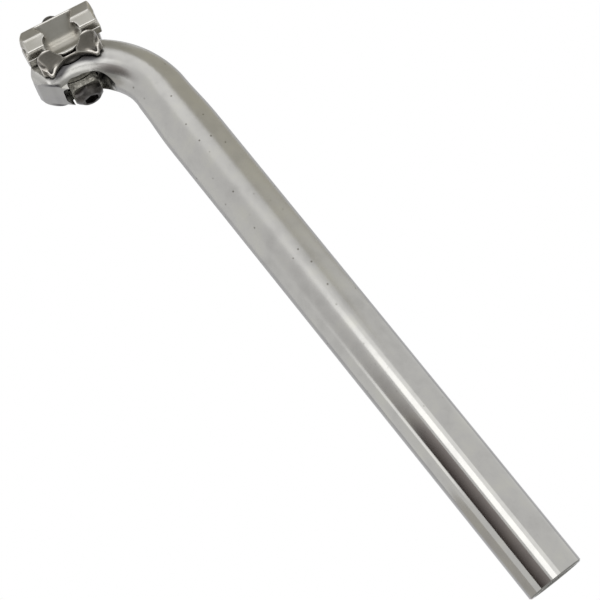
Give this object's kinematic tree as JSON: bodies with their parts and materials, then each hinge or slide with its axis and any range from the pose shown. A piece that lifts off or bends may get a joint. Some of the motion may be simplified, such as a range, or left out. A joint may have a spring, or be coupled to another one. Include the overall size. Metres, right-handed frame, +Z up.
{
  "type": "bicycle seatpost",
  "caption": "Layback bicycle seatpost: bent one-piece tube with a cradle head, and a tilting single-bolt clamp that grips the saddle rails.",
  "frame": {"origin": "centre of the shank where its full diameter begins, at the lower end", "axes": "+Z up the shank, +X to the front of the bicycle, +Y to the rider's left"},
  "size_m": [0.055, 0.0516, 0.3235],
  "materials": {
    "polished_aluminium": "polished shank, satin stained neck and head",
    "cast_aluminium": "tumbled casting",
    "black_steel": "black oxide",
    "washer_steel": "speckled zinc plating"
  },
  "bodies": {
    "post": {"post": "polished_aluminium"},
    "clamp": {"lower_clamp": "cast_aluminium", "upper_clamp": "cast_aluminium", "clamp_bolt": "black_steel", "curved_washer": "washer_steel"}
  },
  "joints": [
    {"name": "saddle_tilt", "type": "hinge", "parent": "post", "child": "clamp", "pos_m": [-0.0214, 0, 0.30742], "axis": [0, 1, 0], "range_deg": [-6, 6]}
  ]
}
